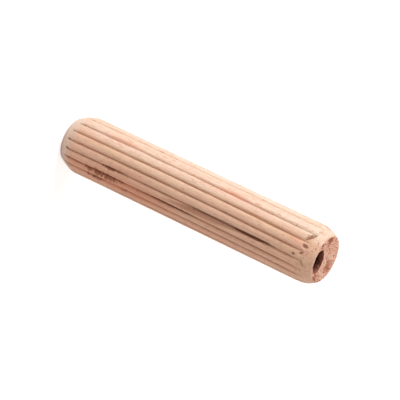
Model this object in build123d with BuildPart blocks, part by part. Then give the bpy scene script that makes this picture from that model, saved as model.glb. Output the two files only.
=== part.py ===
"""Fluted hardwood dowel pin, 8 x 40 mm, with a natural pit in one end.

The pin stands on its plain end: +Z runs along the grain, Z = 0 is the flat of the lower end
and the origin is the centre of that flat. Directions round the pin are degrees from +X
toward +Y.
"""

import os
from math import cos, radians, sin

from build123d import *

# Blank, in millimetres like every length below.
PIN_DIAMETER = 8.0  # across the lands
PIN_LENGTH = 40.0

# Flutes, pressed in from end to end. They run out where the chamfers pass their roots.
FLUTE_COUNT = 19
FIRST_FLUTE_DIRECTION = -45.0
FLUTE_MOUTH = 0.44
FLUTE_DEPTH = 0.24
FLUTE_ROOT_RADIUS = 0.06
LAND_SHOULDER_RADIUS = 0.15

# Rounded chamfers. The bulge is how far the middle stands proud of a straight cone.
UPPER_CHAMFER_LENGTH = 2.0
UPPER_CHAMFER_DEPTH = 0.82
UPPER_CHAMFER_BULGE = 0.14
LOWER_CHAMFER_LENGTH = 2.4
LOWER_CHAMFER_DEPTH = 0.96
LOWER_CHAMFER_BULGE = 0.16

# Natural pit in the upper end: an oval pocket off the centre, with a sloping floor.
PIT_OFFSET = 1.80  # from the pin's axis to the pit's middle
PIT_DIRECTION = -29.0
PIT_WIDTH = 2.3
PIT_LENGTH = 3.2
PIT_TURN = 62.0  # direction of the oval's long axis
PIT_DEPTH = 1.2  # at its middle
PIT_FLOOR_SLOPE = 24.0
PIT_DEEP_SIDE = -130.0  # the direction in which the floor falls

# Gouge: a long shallow scoop beside one flute.
GOUGE_DIRECTION = -24.5
GOUGE_BELOW_END = 13.0  # from the upper end down to its deepest point
GOUGE_LENGTH = 15.0
GOUGE_WIDTH = 0.8
GOUGE_DEPTH = 0.30

PIN_RADIUS = PIN_DIAMETER / 2
PAST = 1.0  # how far a cutter runs past the surface that it cuts
UP = Vector(0, 0, 1)


def direction(angle):
    """Unit vector round the pin at an angle from +X toward +Y."""
    return Vector(cos(radians(angle)), sin(radians(angle)), 0)


def arc_radius(span, rise):
    """Radius of the arc that rises this far over this span."""
    return (span**2 / 4 + rise**2) / (2 * rise)


def chamfer_section(length, depth, bulge):
    """Half section of the ring that a rounded chamfer takes off the end at Z = 0."""
    flat_edge = (PIN_RADIUS - depth, 0)
    land_end = (PIN_RADIUS, length)
    with BuildSketch(Plane.XZ) as ring_section:
        with BuildLine():
            SagittaArc(land_end, flat_edge, bulge)
            Polyline(
                flat_edge,
                (PIN_RADIUS - depth, -PAST),
                (PIN_RADIUS + PAST, -PAST),
                (PIN_RADIUS + PAST, length),
                land_end,
            )
        make_face()
    return ring_section.sketch


# The rings of waste that the chamfers take off, both drawn at Z = 0.
with BuildPart() as lower_waste:
    add(chamfer_section(LOWER_CHAMFER_LENGTH, LOWER_CHAMFER_DEPTH, LOWER_CHAMFER_BULGE))
    revolve(axis=Axis.Z)

with BuildPart() as upper_waste:
    add(chamfer_section(UPPER_CHAMFER_LENGTH, UPPER_CHAMFER_DEPTH, UPPER_CHAMFER_BULGE))
    revolve(axis=Axis.Z)

# The pit's pocket: an oval shaft down from above the end, cut off along the sloping floor.
pit_middle = PIT_OFFSET * direction(PIT_DIRECTION) + PIN_LENGTH * UP
floor_slope = radians(PIT_FLOOR_SLOPE)
pit_floor = Plane(
    origin=pit_middle - PIT_DEPTH * UP,
    z_dir=cos(floor_slope) * UP + sin(floor_slope) * direction(PIT_DEEP_SIDE),
)
with BuildPart() as pit:
    with BuildSketch(Plane(origin=pit_middle + PAST * UP, x_dir=direction(PIT_TURN), z_dir=UP)):
        Ellipse(PIT_LENGTH / 2, PIT_WIDTH / 2)
    extrude(amount=-(PAST + 2 * PIT_DEPTH))
    split(bisect_by=pit_floor, keep=Keep.TOP)

# The gouge's cutter: a thin ring that grazes the pin, as wide as a small round tool.
gouge_direction = direction(GOUGE_DIRECTION)
gouge_height = (PIN_LENGTH - GOUGE_BELOW_END) * UP
gouge_bottom = PIN_RADIUS - GOUGE_DEPTH
tool_radius = arc_radius(GOUGE_WIDTH, GOUGE_DEPTH)
swing_radius = arc_radius(GOUGE_LENGTH, GOUGE_DEPTH)
swing_centre = (gouge_bottom + swing_radius) * gouge_direction + gouge_height
with BuildPart() as gouge:
    with BuildSketch(Plane(origin=gouge_height, x_dir=gouge_direction, z_dir=UP)):
        with Locations((gouge_bottom + tool_radius, 0)):
            Circle(tool_radius)
    revolve(axis=Axis(swing_centre, UP.cross(gouge_direction)))

# The pin: the fluted section drawn up, with both ends, the pit and the gouge taken out.
flank_slope = FLUTE_MOUTH / 2 / FLUTE_DEPTH
with BuildPart() as dowel_pin:
    with BuildSketch(Plane.XY.rotated((0, 0, FIRST_FLUTE_DIRECTION))) as section:
        Circle(PIN_RADIUS)
        with PolarLocations(PIN_RADIUS, FLUTE_COUNT):
            Polygon(
                (-FLUTE_DEPTH, 0),
                (PAST, -flank_slope * (FLUTE_DEPTH + PAST)),
                (PAST, flank_slope * (FLUTE_DEPTH + PAST)),
                align=None,
                mode=Mode.SUBTRACT,
            )
        corners = section.vertices().sort_by_distance((0, 0, 0))
        fillet(corners[:FLUTE_COUNT], FLUTE_ROOT_RADIUS)
        corners = section.vertices().sort_by_distance((0, 0, 0))
        fillet(corners[-2 * FLUTE_COUNT :], LAND_SHOULDER_RADIUS)
    extrude(amount=PIN_LENGTH)
    add(lower_waste.part, mode=Mode.SUBTRACT)
    mirror(upper_waste.part, about=Plane.XY.offset(PIN_LENGTH / 2), mode=Mode.SUBTRACT)
    add(pit.part, mode=Mode.SUBTRACT)
    add(gouge.part, mode=Mode.SUBTRACT)

dowel_pin.part.label = "dowel_pin"
os.makedirs("parts", exist_ok=True)
export_step(dowel_pin.part, "parts/dowel_pin.step")
print("volume", round(dowel_pin.part.volume, 1), "mm3")
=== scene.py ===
# %% [markdown]
# # A fluted beech dowel pin
# This lesson dresses one small turned part: a beech dowel, 8 mm thick and 40 mm long, with
# straight flutes that were pressed into it. A CAD model already holds its size and place. Here
# it gets what the CAD model leaves out: flutes that wander, crowned lands, torn grain, a gouge
# and the raw end grain round a natural pit. The CAD model is loaded first and stays as it is.

import random
from math import atan2, cos, degrees, exp, hypot, pi, radians, sin

import bmesh
import bpy
from mathutils import Matrix, Vector, noise


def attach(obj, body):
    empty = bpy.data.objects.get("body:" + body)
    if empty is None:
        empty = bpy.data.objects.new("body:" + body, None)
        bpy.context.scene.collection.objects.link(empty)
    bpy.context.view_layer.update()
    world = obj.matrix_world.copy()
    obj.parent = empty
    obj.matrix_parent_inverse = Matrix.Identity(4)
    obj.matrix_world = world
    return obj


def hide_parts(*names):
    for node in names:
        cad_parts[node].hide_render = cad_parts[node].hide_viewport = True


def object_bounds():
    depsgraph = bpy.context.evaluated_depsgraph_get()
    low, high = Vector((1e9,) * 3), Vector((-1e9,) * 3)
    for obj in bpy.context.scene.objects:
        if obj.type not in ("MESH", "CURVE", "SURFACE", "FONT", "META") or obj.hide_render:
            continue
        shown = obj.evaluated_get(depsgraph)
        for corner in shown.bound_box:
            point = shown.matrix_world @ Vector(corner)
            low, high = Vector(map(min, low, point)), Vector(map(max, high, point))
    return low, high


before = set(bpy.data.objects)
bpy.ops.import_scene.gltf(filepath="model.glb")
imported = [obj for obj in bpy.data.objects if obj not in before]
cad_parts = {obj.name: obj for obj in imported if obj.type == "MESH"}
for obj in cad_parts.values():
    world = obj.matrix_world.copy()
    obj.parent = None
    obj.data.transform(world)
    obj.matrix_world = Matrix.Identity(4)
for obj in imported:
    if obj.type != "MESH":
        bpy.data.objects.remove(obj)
cad_low, cad_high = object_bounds()
MM = 0.001
print("CAD box in mm", [round(v / MM, 3) for v in (*cad_low, *cad_high)])

# %% [markdown]
# ## The camera
# The pin stands on its plain end, and the camera looks down on its pitted end from the front
# right. A long lens from a third of a metre keeps the sides nearly parallel. The camera is
# rolled over, so the pin lies across the picture as it would in a catalogue: with a roll, the
# part need not be laid down to be seen lying down.

# %% Camera
CAMERA_AZIMUTH = 42.15
CAMERA_ELEVATION = 25.64
CAMERA_ROLL = 115.55
CAMERA_DISTANCE = 355.97 * MM
CAMERA_LENS = 247.3
SENSOR_WIDTH = 36.0
AIM = Vector((-0.10, 0.17, 20.41)) * MM

camera_data = bpy.data.cameras.new("camera")
camera_data.lens = CAMERA_LENS
camera_data.sensor_width = SENSOR_WIDTH
camera_data.clip_start = 0.01
camera_data.clip_end = 20.0
camera = bpy.data.objects.new("camera", camera_data)
turn = (
    Matrix.Rotation(radians(CAMERA_AZIMUTH), 4, "Z")
    @ Matrix.Rotation(radians(90 - CAMERA_ELEVATION), 4, "X")
    @ Matrix.Rotation(radians(CAMERA_ROLL), 4, "Z")
)
to_camera = turn.to_3x3() @ Vector((0, 0, 1))
camera.matrix_world = Matrix.Translation(AIM + CAMERA_DISTANCE * to_camera) @ turn
bpy.context.collection.objects.link(camera)
bpy.context.scene.camera = camera
bpy.context.scene.view_settings.view_transform = "Standard"
print("camera at mm", [round(v / MM, 1) for v in camera.location])

# %% [markdown]
# ## The studio
# Soft light from the front makes the flutes read: each land is bright on its crown and falls
# off towards the next flute. A big square lamp in front does that, a weaker one behind keeps
# the back from going black, and the world fills the rest. The floor is pale. To the camera it
# is lifted almost to white, and enough of its own shading is left for the pin's shadow to show.

# %% Lamps, world and floor
KEY_POWER = 3.8
BACK_POWER = 1.2
WORLD_FILL = 0.52
FILL_COLOUR = (1.0, 0.93, 0.92, 1)
FLOOR_LIFT = 0.52
FLOOR_COLOUR = (0.82, 0.81, 0.80, 1)
FLOOR_SIZE = 3.0
FLOOR_GAP = 0.02 * MM


def add_lamp(name, power, size, azimuth, elevation, distance):
    """A square soft lamp that faces the middle of the pin from a direction in degrees."""
    lamp_data = bpy.data.lights.new(name, "AREA")
    lamp_data.energy = power
    lamp_data.size = size
    lamp = bpy.data.objects.new(name, lamp_data)
    lamp_turn = (
        Matrix.Rotation(radians(azimuth), 4, "Z")
        @ Matrix.Rotation(radians(90 - elevation), 4, "X")
    )
    away = lamp_turn.to_3x3() @ Vector((0, 0, 1))
    middle = (cad_low + cad_high) / 2
    lamp.matrix_world = Matrix.Translation(middle + distance * away) @ lamp_turn
    bpy.context.collection.objects.link(lamp)
    return lamp


add_lamp("key_lamp", KEY_POWER, size=0.55, azimuth=-34, elevation=24, distance=0.6)
add_lamp("back_lamp", BACK_POWER, size=0.6, azimuth=170, elevation=35, distance=0.7)

world = bpy.data.worlds.new("studio_air")
world.use_nodes = True
bpy.context.scene.world = world
nodes, links = world.node_tree.nodes, world.node_tree.links
nodes.clear()
rays = nodes.new("ShaderNodeLightPath")
clear_view = nodes.new("ShaderNodeMath")
clear_view.operation = "MAXIMUM"
links.new(rays.outputs["Is Camera Ray"], clear_view.inputs[0])
links.new(rays.outputs["Is Transmission Ray"], clear_view.inputs[1])
fill_air = nodes.new("ShaderNodeBackground")
fill_air.inputs["Strength"].default_value = WORLD_FILL
white_air = nodes.new("ShaderNodeBackground")
white_air.inputs["Strength"].default_value = 1.0
fill_air.inputs["Color"].default_value = FILL_COLOUR
white_air.inputs["Color"].default_value = (1, 1, 1, 1)
choose = nodes.new("ShaderNodeMixShader")
links.new(clear_view.outputs[0], choose.inputs["Fac"])
links.new(fill_air.outputs[0], choose.inputs[1])
links.new(white_air.outputs[0], choose.inputs[2])
links.new(choose.outputs[0], nodes.new("ShaderNodeOutputWorld").inputs["Surface"])

floor_mesh = bmesh.new()
bmesh.ops.create_grid(floor_mesh, x_segments=1, y_segments=1, size=FLOOR_SIZE)
floor_data = bpy.data.meshes.new("floor")
floor_mesh.to_mesh(floor_data)
floor_mesh.free()
floor = bpy.data.objects.new("floor", floor_data)
floor.location.z = cad_low.z - FLOOR_GAP
bpy.context.collection.objects.link(floor)

floor_paint = bpy.data.materials.new("pale_floor")
floor_paint.use_nodes = True
nodes, links = floor_paint.node_tree.nodes, floor_paint.node_tree.links
floor_shader = nodes["Principled BSDF"]
floor_shader.inputs["Base Color"].default_value = FLOOR_COLOUR
floor_shader.inputs["Roughness"].default_value = 0.9
floor_shader.inputs["Specular IOR Level"].default_value = 0.1
floor_shader.inputs["Emission Color"].default_value = (1, 1, 1, 1)
rays = nodes.new("ShaderNodeLightPath")
lift = nodes.new("ShaderNodeMath")
lift.operation = "MULTIPLY"
lift.inputs[1].default_value = FLOOR_LIFT
links.new(rays.outputs["Is Camera Ray"], lift.inputs[0])
links.new(lift.outputs[0], floor_shader.inputs["Emission Strength"])
floor_data.materials.append(floor_paint)

# %% [markdown]
# ## The blank
# A dowel is turned, so its blank is a spin: one half outline, from the middle of the lower end
# out over its chamfer, up the side and back in to the middle of the upper end, carried once
# round the axis. `bmesh.ops.spin` makes every face, and merging the doubles closes the seam
# and the two poles. The outline has more points where fine damage will be pressed in later.

# %% Sizes and the blank's outline, in millimetres
LENGTH = (cad_high.z - cad_low.z) / MM
UNDER_SIZE = 0.005
RADIUS = (cad_high.x - cad_low.x) / 2 / MM - UNDER_SIZE
LOWER_CHAMFER = {"length": 2.4, "depth": 0.96, "bulge": 0.16}
UPPER_CHAMFER = {"length": 2.0, "depth": 0.82, "bulge": 0.14}
FLUTES = 19
STEPS_PER_FLUTE = 18
STEPS = FLUTES * STEPS_PER_FLUTE
SIDE_STEP = 0.25
FINE_STEP = 0.125
FINE_STRETCHES = [(4.8, 10.0), (36.6, LENGTH - UPPER_CHAMFER["length"])]
LOWER_FLAT_RINGS = 6
UPPER_FLAT_RINGS = 40
LOWER_CHAMFER_RINGS = 15
UPPER_CHAMFER_RINGS = 20
ROUNDING = 1e-6
NEAR = 1e-4  # lengths closer than this count as the same

lower_flat = RADIUS - LOWER_CHAMFER["depth"]
upper_flat = RADIUS - UPPER_CHAMFER["depth"]


def chamfer_point(chamfer, t):
    """(inset from the land, distance from the end) at t along a chamfer, 0 at its flat."""
    inset = chamfer["depth"] * (1 - t)
    reach = chamfer["length"] * t
    chord = hypot(chamfer["depth"], chamfer["length"])
    proud = 4 * chamfer["bulge"] * t * (1 - t)
    return (
        inset - proud * chamfer["length"] / chord,
        reach - proud * chamfer["depth"] / chord,
    )


def blank_outline():
    """Half outline of the blank as (radius, height) points, from pole to pole."""
    points = [(lower_flat * k / LOWER_FLAT_RINGS, 0.0) for k in range(LOWER_FLAT_RINGS + 1)]
    for k in range(1, LOWER_CHAMFER_RINGS):
        inset, reach = chamfer_point(LOWER_CHAMFER, k / LOWER_CHAMFER_RINGS)
        points.append((RADIUS - inset, reach))
    height = LOWER_CHAMFER["length"]
    while height < LENGTH - UPPER_CHAMFER["length"] - ROUNDING:
        points.append((RADIUS, height))
        fine = any(low <= height < high for low, high in FINE_STRETCHES)
        height += FINE_STEP if fine else SIDE_STEP
    for k in range(UPPER_CHAMFER_RINGS, 0, -1):
        inset, reach = chamfer_point(UPPER_CHAMFER, k / UPPER_CHAMFER_RINGS)
        points.append((RADIUS - inset, LENGTH - reach))
    for k in range(UPPER_FLAT_RINGS + 1):
        points.append((upper_flat * (1 - k / UPPER_FLAT_RINGS), LENGTH))
    return points


outline = blank_outline()
pin_mesh = bmesh.new()
corners = [pin_mesh.verts.new((0, -radius, height)) for radius, height in outline]
edges = [pin_mesh.edges.new(pair) for pair in zip(corners, corners[1:])]
bmesh.ops.spin(
    pin_mesh,
    geom=corners + edges,
    cent=(0, 0, 0),
    axis=(0, 0, 1),
    angle=2 * pi,
    steps=STEPS,
    use_merge=True,
)
bmesh.ops.remove_doubles(pin_mesh, verts=pin_mesh.verts, dist=1e-5)
print("outline points", len(outline), "blank faces", len(pin_mesh.faces))

# %% [markdown]
# ## A map for baking
# The paint is procedural, but a game or a viewer wants it baked to a picture, and a map that
# follows the shape keeps that picture sharp. It is simplest to lay out now, while the pin is
# still a plain blank: the side unrolls into a strip, and each end becomes a disc whose rings
# are evenly spread, so the walls of the pit get room of their own later.

# %% Unroll the blank
STRIP = {"left": 0.005, "width": 0.600, "bottom": 0.005, "height": 0.990}
UPPER_DISC = (0.806, 0.200, 0.185)
LOWER_DISC = (0.806, 0.560, 0.150)


def mesh_step(x, y):
    """Number of the lengthwise mesh line that a point of the blank lies on."""
    return round(degrees(atan2(x, -y)) / 360 * STEPS) % STEPS


def disc_place(disc, share, step):
    """Place on the map of a point at a share of a disc's radius."""
    middle_u, middle_v, radius = disc
    turned = 2 * pi * step / STEPS
    return middle_u + radius * share * sin(turned), middle_v - radius * share * cos(turned)


side_points = outline[LOWER_FLAT_RINGS : len(outline) - UPPER_FLAT_RINGS]
reached = [0.0]
for (r0, h0), (r1, h1) in zip(side_points, side_points[1:]):
    reached.append(reached[-1] + hypot(r1 - r0, h1 - h0))
along_side = {round(h, 4): way / reached[-1] for (r, h), way in zip(side_points, reached)}

bake_map = pin_mesh.loops.layers.uv.new("OFBake")
for face in pin_mesh.faces:
    heights = [vertex.co.z for vertex in face.verts]
    steps = [mesh_step(vertex.co.x, vertex.co.y) for vertex in face.verts]
    crosses_seam = max(steps) - min(steps) > STEPS / 2
    for loop, step in zip(face.loops, steps):
        x, y, height = loop.vert.co
        radius = hypot(x, y)
        if max(heights) < NEAR:
            loop[bake_map].uv = disc_place(LOWER_DISC, radius / lower_flat, step)
        elif min(heights) > LENGTH - NEAR:
            loop[bake_map].uv = disc_place(UPPER_DISC, radius / upper_flat, step)
        else:
            turned = step + STEPS if crosses_seam and step < STEPS / 2 else step
            loop[bake_map].uv = (
                STRIP["left"] + STRIP["width"] * turned / STEPS,
                STRIP["bottom"] + STRIP["height"] * along_side[round(height, 4)],
            )
print("side", round(reached[-1], 2), "mm long on the map")

# %% [markdown]
# ## Where the flutes run
# The flutes were pressed between toothed rollers, so they aren't ruled lines. They wander a
# little with the grain, they turn slowly round the pin, and the rollers weren't quite even, so
# the flutes stand wider apart on one side. Angles round the pin are degrees from the front, -Y,
# toward +X. Each point of the blank belongs to one flute pitch, and follows the two flutes
# beside it, so the mesh lines run along the flutes and crowd together in them.

# %% Flute paths
FRONT_FLUTES = [-19.8, 4.2, 24.8, 44.1, 62.5, 80.0, 95.4, 113.8]
# how deep each flute is and how dark its painted shade; stronger on flutes away from the lamp
FRONT_STRENGTHS = [0.40, 0.68, 0.82, 0.98, 1.05, 1.3, 1.45, 1.5]
TWIST = 0.05
BOW = 0.0068
WANDER = 0.35
CROWDING = 0.45

back_flutes = FLUTES - len(FRONT_FLUTES)
back_pitch = (360 + FRONT_FLUTES[0] - FRONT_FLUTES[-1]) / (back_flutes + 1)
flute_strengths = FRONT_STRENGTHS + [
    1.0 + 0.5 * noise.noise((1.7 * k, 4.4, 0.3)) for k in range(back_flutes)
]
flute_roots = FRONT_FLUTES + [
    FRONT_FLUTES[-1] + back_pitch * (k + 1) for k in range(back_flutes)
]


def flute_angle(flute, height):
    """Angle of one flute's root at a height, in degrees from the front."""
    lane = 7.3 * flute
    from_middle = height - LENGTH / 2
    slow = noise.noise((lane, 0.11 * height, 3.1))
    quick = noise.noise((lane, 0.55 * height, 8.2))
    drift = TWIST * from_middle + BOW * from_middle**2
    return flute_roots[flute] + drift + WANDER * (slow + 0.5 * quick)


def flute_row(height):
    """Angles of all the flutes at a height, and of the first one again a turn later."""
    row = [flute_angle(flute, height) for flute in range(FLUTES)]
    return row + [row[0] + 360]


def lane_angle(step, row):
    """Angle of one lengthwise mesh line, where the flutes lie as in row."""
    flute, place = divmod(step, STEPS_PER_FLUTE)
    share = place / STEPS_PER_FLUTE
    share -= CROWDING * sin(2 * pi * share) / (2 * pi)
    return row[flute] + (row[flute + 1] - row[flute]) * share


middle_row = flute_row(LENGTH / 2)
print("flute pitches", [round(b - a, 1) for a, b in zip(middle_row, middle_row[1:])])

# %% [markdown]
# ## The pressed section
# Across one pitch, the surface is a low crown that rolls over into a narrow V. The V is a steep
# curve that dies away to both sides, and the crown a wide shallow one. Neither is the same all
# along: the depth breathes, the lips of the V are nicked where fibres broke, and the flutes
# fade near the upper end.

# %% Depth across a flute
ROOT_DEPTH = 0.21
ROOT_WIDTH = 0.125
CROWN_DROP = 0.13
CROWN_WIDTH = 0.62
FADE = 0.70
FADE_FROM = 36.4
FADE_LENGTH = 2.0
BREATH = 0.3
NICK_DEPTH = 0.05
NICK_WIDTH = 0.24


def pressed_depth(aside, flute, height):
    """How deep the surface lies under the lands, and how far down its flute it is, 0 to 1."""
    lane = 11.9 * (flute % FLUTES)
    breath = 1 + BREATH * noise.noise((lane, 0.35 * height, 20.5))
    breath *= flute_strengths[flute % FLUTES]
    breath *= 1 - FADE * min(1.0, max(0.0, (height - FADE_FROM) / FADE_LENGTH))
    ragged = noise.noise((lane + 3.0 * aside, 1.6 * height, 31.0))
    nick = NICK_DEPTH * max(0.0, ragged - 0.15) * exp(-((aside / NICK_WIDTH) ** 2))
    root = exp(-abs(aside / ROOT_WIDTH) ** 1.5)
    crown = max(0.0, 1 - abs(aside) / CROWN_WIDTH) ** 1.6
    return ROOT_DEPTH * breath * root + CROWN_DROP * crown + nick, root * breath


def nearest_flute(angle, row):
    """(flute number, distance round the pin in mm to its root) for an angle."""
    while angle < row[0]:
        angle += 360
    best = min(range(FLUTES + 1), key=lambda flute: abs(angle - row[flute]))
    return best, radians(angle - row[best]) * RADIUS


for aside in (0.0, 0.1, 0.2, 0.4):
    print("depth", aside, "mm from a root:", round(pressed_depth(aside, 0, 20.0)[0], 3))

# %% [markdown]
# ## Scars in the wood
# The rollers tore this pin in a few places. A gouge lies along one flute: a dark slot, with a
# hollow beside it that runs out to a point. Lower down a roller skidded and left a patch of
# short strokes across the grain. Near the upper end the flutes ran out through short fibres,
# which broke away. Each scar is an oval dent with its own turn off the pin's axis, its depth,
# and how dark it is; the darkness is partly scorched and torn wood, partly painted shade in
# the dent, darkest in the gouge's slot. One long faint line along the lower edge is painted
# shade only. Those on the far side are scattered by a seeded draw, in the same manner.

# %% The list of scars
# angle, height, half length, half width, turn, depth, darkness
SCARS = [
    # the gouge's slot and hollow: their darkness is partly torn wood, partly painted shade
    (63.6, 30.9, 3.9, 0.23, -0.8, 0.18, 1.0),
    (62.2, 24.6, 4.6, 0.10, 1.2, 0.05, 0.62),
    (66.9, 24.6, 7.6, 0.44, -2.2, 0.15, 0.48),
    (79.3, 18.3, 5.2, 0.19, 0.0, 0.07, 0.80),
    (79.3, 8.8, 2.6, 0.17, 0.0, 0.05, 0.60),
    (61.4, 9.6, 1.8, 0.13, 0.0, 0.05, 0.55),
    (15.0, 38.38, 1.05, 0.22, -57.0, 0.20, 0.72),
    (36.5, 38.30, 0.50, 0.26, 15.0, 0.15, 0.55),
    (51.0, 38.22, 0.36, 0.11, -35.0, 0.16, 0.80),
    (57.6, 37.22, 0.26, 0.15, 10.0, 0.14, 0.78),
    (68.5, 38.55, 0.26, 0.12, 50.0, 0.09, 0.30),
    (73.5, 38.80, 0.30, 0.11, 65.0, 0.09, 0.28),
    (44.3, 1.25, 0.34, 0.13, 0.0, 0.05, 0.90),
    (62.8, 1.45, 0.34, 0.13, 10.0, 0.05, 0.90),
    (80.6, 1.75, 0.36, 0.13, 10.0, 0.05, 0.85),
    (25.0, 1.30, 0.28, 0.10, 0.0, 0.04, 0.55),
    (55.5, 31.5, 6.5, 0.07, 1.0, 0.02, 0.22),
    # not a scar: a faint dark line of painted shade along the lower edge
    (114.5, 21.0, 18.0, 0.24, 0.0, 0.03, 0.32),
]

draw = random.Random(41)
# the main strokes of the skid
for stroke in range(21):
    SCARS.append((
        80.5 + draw.uniform(-1.5, 3.5),
        4.9 + 0.29 * stroke + draw.uniform(-0.07, 0.07),
        draw.uniform(0.26, 0.52),
        0.080,
        90.0 + draw.uniform(-28, 6),
        0.06,
        draw.uniform(0.35, 0.65),
    ))
# shorter ones, one flute back
for stroke in range(7):
    SCARS.append((
        62.5 + draw.uniform(-1, 2),
        7.4 + 0.30 * stroke,
        draw.uniform(0.12, 0.24),
        0.065,
        90.0 + draw.uniform(-40, 40),
        0.05,
        draw.uniform(0.35, 0.65),
    ))
# a third row, one flute on
for stroke in range(7):
    SCARS.append((
        96.0 + draw.uniform(-2, 3),
        5.0 + 0.27 * stroke,
        draw.uniform(0.22, 0.38),
        0.07,
        90.0 + draw.uniform(-25, 5),
        0.05,
        draw.uniform(0.3, 0.6),
    ))
# small tears near the upper end, on the far side
for tear in range(18):
    SCARS.append((
        draw.uniform(125, 345),
        LENGTH - draw.uniform(1.1, 2.3),
        draw.uniform(0.20, 0.60),
        draw.uniform(0.09, 0.18),
        draw.uniform(-60, 60),
        draw.uniform(0.06, 0.15),
        draw.uniform(0.3, 0.7),
    ))

SCAR_REACH = 1.3
SCAR_SPREAD = 1.6

scars_by_height = {}
for scar in SCARS:
    height, half_length, half_width = scar[1:4]
    reach = SCAR_REACH * max(half_length, half_width)
    for floor_height in range(int(height - reach), int(height + reach) + 1):
        scars_by_height.setdefault(floor_height, []).append(scar)


def scar_depth(angle, height):
    """(depth in mm, darkness 0 to 1) that the scars leave at a place on the side."""
    # the darkness is partly scorched wood and partly painted shade in the dent
    depth = darkness = 0.0
    for scar in scars_by_height.get(int(height), ()):
        middle, middle_height, half_length, half_width, scar_turn, deep, dark = scar
        round_way = radians((angle - middle + 180) % 360 - 180) * RADIUS
        up_way = height - middle_height
        lean = radians(scar_turn)
        along = (up_way * cos(lean) + round_way * sin(lean)) / half_length
        across = (round_way * cos(lean) - up_way * sin(lean)) / half_width
        if abs(along) > SCAR_REACH or abs(across) > SCAR_SPREAD:
            continue
        ragged = 0.25 * noise.noise((7 * round_way, 2.5 * height, middle))
        inside = 1 - along**2 - across**2 / 1.4 + ragged
        if inside > 0:
            fill = min(1.0, 1.6 * inside)
            depth = max(depth, deep * fill)
            darkness = max(darkness, dark * fill)
    return depth, darkness


# angle, height, half length, half width, strength
BLUSHES = [
    (0.5, 8.6, 3.8, 0.50, 0.60),
    (1.5, 26.0, 3.0, 0.46, 0.85),
    (0.0, 29.6, 0.6, 0.25, 0.50),
    (23.5, 30.1, 0.8, 0.16, 0.75),
    (90.0, 10.5, 11.0, 2.00, 0.98),
    (70.0, 21.5, 6.0, 0.55, 0.50),
    (56.0, 11.0, 5.0, 0.45, 0.45),
    (110.0, 22.0, 12.0, 0.90, 0.50),
    (32.0, 37.0, 2.2, 0.60, 0.40),
    (210.0, 24.0, 5.0, 0.60, 0.50),
    (285.0, 13.0, 4.0, 0.50, 0.55),
]
CHATTER = [
    (82.0, 7.7, 3.8, 0.70, 1.25),
    (80.0, 10.6, 1.2, 0.45, 0.90),
    (63.0, 8.5, 1.7, 0.36, 1.15),
    (96.5, 6.4, 2.2, 0.55, 1.05),
    (97.0, 10.9, 0.6, 0.40, 0.90),
    (82.0, 13.5, 3.0, 0.45, 0.55),
]
TORN = [
    (15.5, 38.36, 0.70, 0.75, 0.95),
    (-8.0, 38.9, 0.60, 1.10, 0.62),
    (-32.0, 39.0, 0.60, 1.20, 0.60),
    (36.5, 38.35, 0.55, 0.45, 0.95),
    (51.0, 38.25, 0.35, 0.32, 0.90),
    (57.6, 37.22, 0.28, 0.22, 0.95),
    (72.0, 38.75, 0.55, 0.50, 0.80),
    (150.0, 38.5, 0.60, 0.90, 0.75),
    (205.0, 38.7, 0.50, 1.20, 0.70),
    (262.0, 38.4, 0.70, 0.80, 0.80),
    (310.0, 38.8, 0.50, 1.00, 0.65),
]


def patch_strength(patches, angle, height):
    """How strongly the oval patches in a list cover a place on the side, 0 to 1."""
    strength = 0.0
    for middle, middle_height, half_length, half_width, strong in patches:
        round_way = radians((angle - middle + 180) % 360 - 180) * RADIUS / half_width
        up_way = (height - middle_height) / half_length
        strength = max(strength, strong * max(0.0, 1 - round_way**2 - up_way**2))
    return strength


print("scars", len(SCARS), "patches", len(BLUSHES) + len(CHATTER) + len(TORN))

# %% [markdown]
# ## The end with the pit
# The upper end was sawn, and the saw opened a dark pit in the wood, close to one edge. The
# blank's rings on this end can make it without a boolean: the outer rings stay on the flat and
# close in on the pit's mouth, the next ones go down its wall, and the last ones cover its floor
# to the pole. So the mesh stays one clean skin from the chamfer to the bottom of the pit.

# %% Rings of the upper end
PIT_MIDDLE = (1.54, -0.71)
PIT_LONG = 1.64
PIT_SHORT = 1.17
PIT_TURN = 152.0
PIT_DEPTH = 1.20
PIT_SLOPE = 0.52
PIT_DEEP_SIDE = -40.0
PIT_LEAN = 0.16
MOUTH_RING = 15
FLOOR_RING = 25


def toward(angle):
    """(x, y) of one step from the axis at an angle from the front."""
    return sin(radians(angle)), -cos(radians(angle))


def pit_radius(angle):
    """Distance from the pit's middle to its mouth, in the direction of an angle."""
    off = radians(angle - PIT_TURN)
    oval = PIT_LONG * PIT_SHORT / hypot(PIT_SHORT * cos(off), PIT_LONG * sin(off))
    x, y = toward(angle)
    bulge = 0.10 * noise.noise((1.7 * x, 1.7 * y, 5.0))
    return oval + bulge + 0.05 * noise.noise((5 * x, 5 * y, 9.0))


def sawn_dip(x, y):
    """How far the sawn end lies under the full length at a place, in mm."""
    coarse = noise.noise((1.4 * x, 1.4 * y, 2.0))
    fine = noise.noise((4.5 * x, 4.5 * y, 6.0))
    return 0.055 + 0.035 * coarse + 0.025 * fine


# x, y, radius and strength of the reddish stains on the sawn end
END_STAINS = [
    (-1.2, -2.5, 1.0, 1.0),
    (0.6, -2.9, 0.6, 0.7),
    (2.6, 1.4, 0.9, 0.8),
    (-0.5, 1.8, 1.2, 0.6),
]


def end_stain(x, y):
    """How stained the sawn end is at a place, 0 to 1."""
    strength = 0.0
    for stain_x, stain_y, radius, strong in END_STAINS:
        strength = max(strength, strong * (1 - hypot(x - stain_x, y - stain_y) / radius))
    return strength


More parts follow.
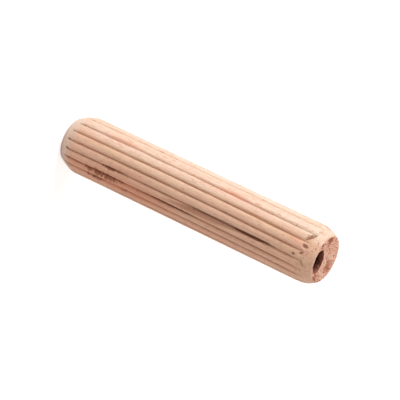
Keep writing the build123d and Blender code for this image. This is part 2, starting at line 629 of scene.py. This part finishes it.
def upper_end_place(ring, rim_x, rim_y):
    """(x, y, height) of a point of the upper end, by its ring."""
    pit_x, pit_y = PIT_MIDDLE
    angle = degrees(atan2(rim_x - pit_x, -(rim_y - pit_y)))
    out_x, out_y = toward(angle)
    mouth = pit_radius(angle)
    if ring <= MOUTH_RING:
        share = ring / MOUTH_RING
        x = rim_x + (pit_x + mouth * out_x - rim_x) * share
        y = rim_y + (pit_y + mouth * out_y - rim_y) * share
        return x, y, LENGTH - sawn_dip(x, y) - 0.04 * share**6
    deep_x, deep_y = toward(PIT_DEEP_SIDE)
    if ring <= FLOOR_RING:
        share = (ring - MOUTH_RING) / (FLOOR_RING - MOUTH_RING)
        reach = mouth * (1 - PIT_LEAN * share**0.7)
        reach += 0.07 * noise.noise((3 * out_x, 3 * out_y, 4 * share))
    else:
        share = 1.0
        reach = (1 - PIT_LEAN) * mouth * (UPPER_FLAT_RINGS - ring)
        reach /= UPPER_FLAT_RINGS - FLOOR_RING
    x, y = pit_x + reach * out_x, pit_y + reach * out_y
    floor_depth = PIT_DEPTH + PIT_SLOPE * ((x - pit_x) * deep_x + (y - pit_y) * deep_y)
    crust = 0.14 * noise.noise((2.2 * x, 2.2 * y, 12.0))
    crust += 0.06 * noise.noise((6 * x, 6 * y, 14.0))
    floor_depth += crust
    return x, y, LENGTH - 0.09 - max(0.15, floor_depth) * share


# %% [markdown]
# ## Pressing the blank
# Now every vertex of the blank is moved to its place: along the side by the flutes and the
# scars, on the ends by their rings. Chamfer and flute meet by a smooth minimum of the two
# radii, which is what makes the flutes run out on the chamfers. The blank starts a hair
# under size and nearly every step takes wood away, so the pin stays inside the CAD model's
# box. Five values are stored with each vertex for the paint: how far down a flute it lies,
# which the paint turns into painted shade, how scorched it is together with painted shade
# in the scars and the pit, and how reddish, scuffed and torn it is.

# %% Shape the pin
MEETING = 0.05
CHAMFER_WAVE = 0.10
FIBRE_RELIEF = 0.010
RAGGED_RELIEF = 0.028
CHAMFER_HALVINGS = 12


def smooth_minimum(a, b, blend):
    """The lesser of two lengths, rounded where they are within blend of each other."""
    near = max(blend - abs(a - b), 0.0) / blend
    return min(a, b) - near * near * blend / 4


def chamfer_radius(height, angle):
    """Radius of the chamfered blank at a height, with the chamfers slightly wavy."""
    x, y = toward(angle)
    for end, chamfer in ((height, LOWER_CHAMFER), (LENGTH - height, UPPER_CHAMFER)):
        if end < chamfer["length"]:
            wave = CHAMFER_WAVE * noise.noise((1.3 * x, 1.3 * y, 0.7 * height))
            wave *= 4 * (end / chamfer["length"]) * (1 - end / chamfer["length"])
            share = min(1.0, (end + wave) / chamfer["length"])
            low, high = 0.0, 1.0
            for halving in range(CHAMFER_HALVINGS):
                t = (low + high) / 2
                inset, reach = chamfer_point(chamfer, t)
                low, high = (t, high) if reach < share * chamfer["length"] else (low, t)
            return RADIUS - inset
    return RADIUS


def side_place(step, height, row):
    """(x, y) of a point on the side or a chamfer, and its values for the paint."""
    angle = lane_angle(step, row)
    flute, aside = nearest_flute(angle, row)
    depth, flute_share = pressed_depth(aside, flute, height)
    scar, scorch = scar_depth(angle, height)
    pressed = RADIUS - depth
    radius = smooth_minimum(chamfer_radius(height, angle), pressed, MEETING) - scar
    x, y = toward(angle)
    fibre = noise.noise((9 * x, 9 * y, 0.22 * height))
    fibre += 0.6 * noise.noise((26 * x, 26 * y, 0.5 * height))
    radius -= FIBRE_RELIEF * (1 + fibre)
    torn = patch_strength(TORN, angle, height)
    from_end = LENGTH - height
    if from_end < UPPER_CHAMFER["length"]:
        crumbs = noise.noise((11 * x, 11 * y, 3.5 * height))
        crumbs += noise.noise((4 * x, 4 * y, 1.5 * height))
        radius -= RAGGED_RELIEF * (0.35 + torn) * (1 + crumbs)
        torn = max(torn, 0.27 + 0.28 * noise.noise((3 * x, 3 * y, 1.1 * height)))
    run_out = min(1.0, max(0.0, (chamfer_radius(height, angle) - pressed) / 0.12 + 0.6))
    values = {
        "flute": flute_share * run_out,
        "scorch": scorch,
        "blush": patch_strength(BLUSHES, angle, height),
        "chatter": patch_strength(CHATTER, angle, height),
        "torn": torn,
    }
    return radius * x, radius * y, values


VALUES = ("flute", "scorch", "blush", "chatter", "torn")
value_layers = {name: pin_mesh.verts.layers.float.new(name) for name in VALUES}
ring_layer = pin_mesh.verts.layers.float.new("ring")
rows = {}
for vertex in pin_mesh.verts:
    x, y, height = vertex.co
    radius = hypot(x, y)
    step = mesh_step(x, y)
    key = round(height, 4)
    if key not in rows:
        rows[key] = flute_row(height)
    row = rows[key]
    if height < NEAR and radius < lower_flat - NEAR:
        share = radius / lower_flat
        rim_x, rim_y = side_place(step, 0.0, row)[:2]
        vertex.co = (rim_x * share, rim_y * share, 0.0)
        vertex[ring_layer] = 1.0
    elif height > LENGTH - NEAR and radius < upper_flat - NEAR:
        ring = round((1 - radius / upper_flat) * UPPER_FLAT_RINGS)
        rim_x, rim_y = side_place(step, LENGTH, row)[:2]
        x, y, height = upper_end_place(ring, rim_x, rim_y)
        vertex.co = (x, y, height)
        vertex[ring_layer] = 2.0 + max(0, ring - MOUTH_RING)
        # in the pit this value is the depth below the end, which the pit's paint turns into
        # painted shade
        vertex[value_layers["scorch"]] = min(1.0, max(0.0, (LENGTH - 0.1 - height) / 1.1))
        vertex[value_layers["blush"]] = end_stain(x, y)
    else:
        x, y, values = side_place(step, height, row)
        if height > LENGTH - NEAR:
            height -= sawn_dip(x, y)
            vertex[ring_layer] = 2.0
        elif height < NEAR:
            vertex[ring_layer] = 1.0
        vertex.co = (x, y, height)
        for name, value in values.items():
            vertex[value_layers[name]] = value

for face in pin_mesh.faces:
    kinds = [vertex[ring_layer] for vertex in face.verts]
    face.smooth = True
    if min(kinds) >= 2.0:
        face.material_index = 2 if max(kinds) > 2.5 else 1
    elif min(kinds) >= 1.0 and max(kinds) <= 1.0:
        face.material_index = 1
bmesh.ops.scale(pin_mesh, vec=(MM, MM, MM), verts=pin_mesh.verts)
bmesh.ops.recalc_face_normals(pin_mesh, faces=pin_mesh.faces)
pin_data = bpy.data.meshes.new("beech_pin")
pin_mesh.to_mesh(pin_data)
pin_mesh.free()
pin = bpy.data.objects.new("beech_pin", pin_data)
bpy.context.collection.objects.link(pin)
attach(pin, "root")
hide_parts("dowel_pin")
print("pin vertices", len(pin_data.vertices), "faces", len(pin_data.polygons))

# %% [markdown]
# ## Wood as a node group
# Beech is pale and pinkish, with long soft streaks, fine fibres and thousands of short darker
# dashes, its rays. All of them run along the grain, so each is the same kind of noise on
# Object coordinates, stretched along Z. Round the pin the colour also follows the light: the
# side that faces the key lamp is painted creamier as a highlight, and the side away from it
# redder as painted shade. One group holds all that, and the side gives it its colours. It puts
# out only a colour, a height for the bump and a roughness. The shader stays in the material,
# so the same wood could be painted in other tones.

# %% Helpers for node trees
def add_node(tree, kind, inputs=None, **settings):
    """A new node with its settings and its plain or linked inputs."""
    made = tree.nodes.new("ShaderNode" + kind)
    for name, value in settings.items():
        setattr(made, name, value)
    for name, value in (inputs or {}).items():
        if isinstance(value, bpy.types.NodeSocket):
            tree.links.new(value, made.inputs[name])
        else:
            made.inputs[name].default_value = value
    return made


def grain_noise(tree, place, across, along, detail=2.0, distortion=0.0):
    """Noise with so many waves a millimetre across the grain and along it, 0 to 1."""
    stretch = add_node(tree, "Mapping", {"Vector": place, "Scale": (across, across, along)})
    made = add_node(
        tree, "TexNoise",
        {"Vector": stretch.outputs[0], "Scale": 1.0, "Detail": detail, "Distortion": distortion},
    )
    return made.outputs["Fac"]


def between(tree, value, low, high, to_low=0.0, to_high=1.0):
    """A value taken from one range to another, and held to its ends."""
    made = add_node(
        tree, "MapRange",
        {"Value": value, "From Min": low, "From Max": high, "To Min": to_low, "To Max": to_high},
    )
    return made.outputs["Result"]


def blend_colours(tree, share, first, second):
    """Two colours mixed by a share."""
    made = tree.nodes.new("ShaderNodeMix")
    made.data_type = "RGBA"
    for place, value in ((0, share), (6, first), (7, second)):
        socket = made.inputs[place]
        if isinstance(value, bpy.types.NodeSocket):
            tree.links.new(value, socket)
        else:
            socket.default_value = value
    return made.outputs[2]


def arithmetic(tree, operation, first, second):
    """Two values put together by a Math node."""
    return add_node(tree, "Math", {0: first, 1: second}, operation=operation).outputs[0]


def stored(tree, name):
    """A value stored with the vertices."""
    return add_node(tree, "Attribute", attribute_name=name).outputs["Fac"]


# %% The beech group
# the side the key lamp faces: the wood is painted paler there, as a highlight
LIT_SIDE = -36.0


def make_beech_group():
    """Colour, height and roughness of beech grain along Z, with painted highlight and shade."""
    group = bpy.data.node_groups.new("beech_grain", "ShaderNodeTree")
    for name, kind in (
        ("Pale", "NodeSocketColor"),
        ("Tan", "NodeSocketColor"),
        ("Pink", "NodeSocketColor"),
        ("Fleck", "NodeSocketColor"),
        ("Highlight", "NodeSocketColor"),
        ("Shade side", "NodeSocketColor"),
        ("Contrast", "NodeSocketFloat"),
    ):
        group.interface.new_socket(name, in_out="INPUT", socket_type=kind)
    for name, kind in (
        ("Color", "NodeSocketColor"),
        ("Height", "NodeSocketFloat"),
        ("Roughness", "NodeSocketFloat"),
    ):
        group.interface.new_socket(name, in_out="OUTPUT", socket_type=kind)
    given = group.nodes.new("NodeGroupInput")
    result = group.nodes.new("NodeGroupOutput")
    place = add_node(group, "TexCoord").outputs["Object"]
    millimetres = add_node(
        group, "VectorMath", {0: place, 1: (1 / MM, 1 / MM, 1 / MM)}, operation="MULTIPLY"
    ).outputs[0]
    # how far toward the lit side a place lies, for the painted highlight and shade
    toward_lit_side = add_node(
        group, "VectorMath",
        {0: millimetres, 1: toward(LIT_SIDE) + (0,)},
        operation="DOT_PRODUCT",
    ).outputs["Value"]
    wave = grain_noise(group, millimetres, across=0.5, along=0.04)
    toward_lit_side = arithmetic(group, "ADD", toward_lit_side, between(group, wave, 0.3, 0.7, -0.9, 0.9))
    streaks = grain_noise(group, millimetres, across=1.1, along=0.05, detail=3.0)
    hue = grain_noise(group, millimetres, across=0.8, along=0.11, detail=2.0)
    fibres = grain_noise(group, millimetres, across=7.0, along=0.35, detail=3.0)
    rays = grain_noise(group, millimetres, across=11.0, along=1.1, detail=1.0)
    colour = blend_colours(
        group, between(group, streaks, 0.35, 0.68), given.outputs["Pale"], given.outputs["Tan"]
    )
    colour = blend_colours(group, between(group, hue, 0.42, 0.68), colour, given.outputs["Pink"])
    # painted highlight on the side toward the key lamp, painted redder shade on the side away
    colour = blend_colours(
        group, between(group, toward_lit_side, 1.6, 4.6, 0.0, 0.9), colour, given.outputs["Highlight"]
    )
    colour = blend_colours(
        group, between(group, toward_lit_side, 1.4, -2.6, 0.0, 0.8), colour, given.outputs["Shade side"]
    )
    fibre_share = arithmetic(
        group, "MULTIPLY", between(group, fibres, 0.45, 0.80), given.outputs["Contrast"]
    )
    colour = blend_colours(group, fibre_share, colour, given.outputs["Tan"])
    ray_share = arithmetic(
        group, "MULTIPLY", between(group, rays, 0.60, 0.72), given.outputs["Contrast"]
    )
    colour = blend_colours(group, ray_share, colour, given.outputs["Fleck"])
    group.links.new(colour, result.inputs["Color"])
    height = arithmetic(group, "SUBTRACT", fibres, between(group, rays, 0.60, 0.72, 0.0, 0.25))
    group.links.new(height, result.inputs["Height"])
    group.links.new(between(group, fibres, 0.3, 0.7, 0.62, 0.78), result.inputs["Roughness"])
    return group


beech_grain = make_beech_group()
print("beech group nodes", len(beech_grain.nodes))

# %% [markdown]
# ## Broken fibres as a node group
# Where a roller skidded or a saw came out, short fibres broke off and left dark crumbs and
# strokes with ragged ends. Each is a noise that only passes where a mask lets it, and the
# stronger the mask, the more of it passes. The strokes lie across the grain, so this noise is
# stretched the other way. The side and both ends use the group, with waves of their own.

# %% The broken fibre group
def make_broken_group():
    """Where crumbs and strokes show under a mask, 0 to 1."""
    group = bpy.data.node_groups.new("broken_fibres", "ShaderNodeTree")
    for name in ("Mask", "Across", "Along"):
        group.interface.new_socket(name, in_out="INPUT", socket_type="NodeSocketFloat")
    group.interface.new_socket("Share", in_out="OUTPUT", socket_type="NodeSocketFloat")
    given = group.nodes.new("NodeGroupInput")
    result = group.nodes.new("NodeGroupOutput")
    place = add_node(group, "TexCoord").outputs["Object"]
    across = arithmetic(group, "DIVIDE", given.outputs["Across"], MM)
    along = arithmetic(group, "DIVIDE", given.outputs["Along"], MM)
    waves = add_node(group, "CombineXYZ", {"X": across, "Y": across, "Z": along})
    stretched = add_node(
        group, "VectorMath", {0: place, 1: waves.outputs[0]}, operation="MULTIPLY"
    ).outputs[0]
    crumbs = add_node(
        group, "TexNoise", {"Vector": stretched, "Scale": 1.0, "Detail": 3.0, "Distortion": 0.3}
    ).outputs["Fac"]
    passing = arithmetic(
        group, "ADD", crumbs, arithmetic(group, "MULTIPLY", given.outputs["Mask"], 0.30)
    )
    group.links.new(between(group, passing, 0.68, 0.80), result.inputs["Share"])
    return group


broken_fibres = make_broken_group()


def add_broken(tree, mask, across, along):
    """The share of broken fibres under a mask, with so many waves a millimetre."""
    made = tree.nodes.new("ShaderNodeGroup")
    made.node_tree = broken_fibres
    tree.links.new(mask, made.inputs["Mask"])
    made.inputs["Across"].default_value = across
    made.inputs["Along"].default_value = along
    return made.outputs["Share"]


# %% [markdown]
# ## The pressed side
# The rollers left the side fairly smooth. Its colour is the beech group's, with layers over it
# that the mesh knows about: painted shade down in the flutes, reddish smudges where the
# rollers rubbed, the strokes of a skid, torn crumbs near the upper end, and the brown of
# scorched wood in the scars, with painted shade in their dents. The lower chamfer was cut
# last and is partly paler wood, partly painted light where it faces the floor. A little
# sheen stands for the fine fuzz of raw wood.

# %% Paint for the side
PALE = (0.81, 0.570, 0.405, 1)
TAN = (0.70, 0.430, 0.275, 1)
PINK = (0.79, 0.480, 0.345, 1)
FLECK = (0.54, 0.285, 0.175, 1)
# next two: a pale tone for painted highlight, also on the lower chamfer, a red one for painted
# shade
PALE_WOOD_AND_LIGHT = (0.80, 0.665, 0.550, 1)
SHADE_SIDE_RED = (0.84, 0.500, 0.340, 1)
# painted shade down in the flutes
FLUTE_SHADE_BROWN = (0.38, 0.145, 0.068, 1)
BLUSH_RED = (0.70, 0.245, 0.125, 1)
STROKE_BROWN = (0.30, 0.092, 0.034, 1)
CRUMB_BROWN = (0.45, 0.205, 0.105, 1)
# brown of scorched wood, also used as painted shade in the dents and along the lower edge
SCORCH_AND_SHADE_BROWN = (0.20, 0.056, 0.018, 1)
WOOD_TONES = {
    "Pale": PALE,
    "Tan": TAN,
    "Pink": PINK,
    "Fleck": FLECK,
    "Highlight": PALE_WOOD_AND_LIGHT,
    "Shade side": SHADE_SIDE_RED,
}


def beech_shader(name, contrast):
    """A material with a beech group in it, its shader and its tree."""
    paint = bpy.data.materials.new(name)
    paint.use_nodes = True
    tree = paint.node_tree
    shader = tree.nodes["Principled BSDF"]
    grain = tree.nodes.new("ShaderNodeGroup")
    grain.node_tree = beech_grain
    for socket, value in WOOD_TONES.items():
        grain.inputs[socket].default_value = value
    grain.inputs["Contrast"].default_value = contrast
    return paint, tree, shader, grain


def add_bump(tree, shader, height, strength, distance):
    """A bump from a height, on a shader's normal."""
    bump = add_node(
        tree, "Bump", {"Height": height, "Strength": strength, "Distance": distance}
    )
    tree.links.new(bump.outputs[0], shader.inputs["Normal"])


side_paint, tree, shader, grain = beech_shader("pressed_beech", 0.85)
strokes = add_broken(tree, stored(tree, "chatter"), across=0.9, along=4.2)
crumbs = add_broken(tree, stored(tree, "torn"), across=4.5, along=4.0)
object_height = add_node(
    tree, "SeparateXYZ", {0: add_node(tree, "TexCoord").outputs["Object"]}
).outputs["Z"]
# the lower chamfer is paler: partly paler wood, partly painted light where it faces the floor
low_chamfer_pale_and_lit = between(tree, object_height, LOWER_CHAMFER["length"] * MM, 0.6 * MM, 0.0, 0.75)
colour = blend_colours(tree, low_chamfer_pale_and_lit, grain.outputs["Color"], PALE_WOOD_AND_LIGHT)
# layers: painted shade in the flutes, red smudges, strokes, crumbs, scorched wood with painted
# shade
for share, brown in (
    (arithmetic(tree, "MULTIPLY", stored(tree, "flute"), 0.58), FLUTE_SHADE_BROWN),
    (arithmetic(tree, "MULTIPLY", stored(tree, "blush"), 0.60), BLUSH_RED),
    (arithmetic(tree, "MULTIPLY", strokes, 0.80), STROKE_BROWN),
    (arithmetic(tree, "MULTIPLY", crumbs, 0.75), CRUMB_BROWN),
    (between(tree, stored(tree, "scorch"), 0.05, 0.95, 0.0, 0.92), SCORCH_AND_SHADE_BROWN),
):
    colour = blend_colours(tree, share, colour, brown)
tree.links.new(colour, shader.inputs["Base Color"])
tree.links.new(grain.outputs["Roughness"], shader.inputs["Roughness"])
shader.inputs["Specular IOR Level"].default_value = 0.35
shader.inputs["Sheen Weight"].default_value = 0.28
shader.inputs["Sheen Roughness"].default_value = 0.45
scuffs = arithmetic(tree, "MULTIPLY", strokes, 0.8)
relief = arithmetic(tree, "SUBTRACT", grain.outputs["Height"], scuffs)
relief = arithmetic(tree, "SUBTRACT", relief, crumbs)
add_bump(tree, shader, relief, strength=0.65, distance=0.05 * MM)
pin_data.materials.append(side_paint)

# %% [markdown]
# ## The sawn ends
# End grain drinks light: it is redder and darker than the side, and the saw left it rough,
# speckled with cut vessels and torn fibre ends. Blotches, mottle and specks are three sizes of
# one noise, and the broken fibre group adds the crumbs, most of them on the stains. The pale
# specks are partly pale fibre ends and partly painted glints.

# %% Paint for the sawn ends
END_RED = (0.76, 0.330, 0.195, 1)
END_PALE = (0.93, 0.610, 0.440, 1)
END_DARK = (0.36, 0.105, 0.050, 1)
# pale specks: partly pale fibre ends, partly painted glints
END_GLINT = (0.95, 0.740, 0.630, 1)


def plain_shader(name, roughness):
    """A rough material, its shader, its tree and its places in millimetres."""
    paint = bpy.data.materials.new(name)
    paint.use_nodes = True
    tree = paint.node_tree
    shader = tree.nodes["Principled BSDF"]
    shader.inputs["Roughness"].default_value = roughness
    shader.inputs["Specular IOR Level"].default_value = 0.25
    place = add_node(tree, "TexCoord").outputs["Object"]
    millimetres = add_node(
        tree, "VectorMath", {0: place, 1: (1 / MM, 1 / MM, 1 / MM)}, operation="MULTIPLY"
    ).outputs[0]
    return paint, tree, shader, millimetres


end_paint, tree, shader, millimetres = plain_shader("sawn_end_grain", 0.82)
patches = grain_noise(tree, millimetres, across=1.1, along=1.1, detail=3.0)
mottle = grain_noise(tree, millimetres, across=5.5, along=5.5, detail=4.0, distortion=0.5)
specks = grain_noise(tree, millimetres, across=8.5, along=8.5, detail=2.0)
stain = stored(tree, "blush")
crumbs = add_broken(tree, arithmetic(tree, "ADD", stain, 0.55), across=5.0, along=5.0)
redness = arithmetic(tree, "ADD", patches, arithmetic(tree, "MULTIPLY", stain, 0.20))
colour = blend_colours(tree, between(tree, redness, 0.36, 0.66, 0.0, 0.7), END_PALE, END_RED)
for share, tone in (
    (between(tree, mottle, 0.48, 0.60, 0.0, 0.95), END_RED),
    (between(tree, specks, 0.53, 0.63, 0.0, 0.90), END_GLINT),
    (arithmetic(tree, "MULTIPLY", crumbs, 0.95), END_DARK),
):
    colour = blend_colours(tree, share, colour, tone)
tree.links.new(colour, shader.inputs["Base Color"])
rough = arithmetic(tree, "ADD", mottle, arithmetic(tree, "MULTIPLY", specks, 0.6))
rough = arithmetic(tree, "SUBTRACT", rough, crumbs)
add_bump(tree, shader, rough, strength=0.6, distance=0.10 * MM)
pin_data.materials.append(end_paint)

# %% [markdown]
# ## The pit
# The pit is dark red-brown, and its paint darkens with depth as painted shade: nearly black at
# the bottom and red-brown where it runs out at its shallow end. How deep a point lies is stored
# with the mesh, and a crusty noise breaks up the change from one brown to the other.

# %% Paint for the pit
PIT_EDGE = (0.30, 0.115, 0.072, 1)
# the colour at the pit's bottom: painted shade
PIT_DEEP_SHADE = (0.060, 0.018, 0.013, 1)

pit_paint, tree, shader, millimetres = plain_shader("pit_wood_and_shade", 0.85)
crust = grain_noise(tree, millimetres, across=5.0, along=2.5, detail=4.0)
# the deeper a point, the darker: painted shade
deep_shade_share = arithmetic(
    tree, "ADD", stored(tree, "scorch"), between(tree, crust, 0.35, 0.65, -0.30, 0.20)
)
colour = blend_colours(tree, between(tree, deep_shade_share, 0.05, 0.62), PIT_EDGE, PIT_DEEP_SHADE)
tree.links.new(colour, shader.inputs["Base Color"])
add_bump(tree, shader, crust, strength=0.8, distance=0.10 * MM)
pin_data.materials.append(pit_paint)
print("paints", [paint.name for paint in pin_data.materials])
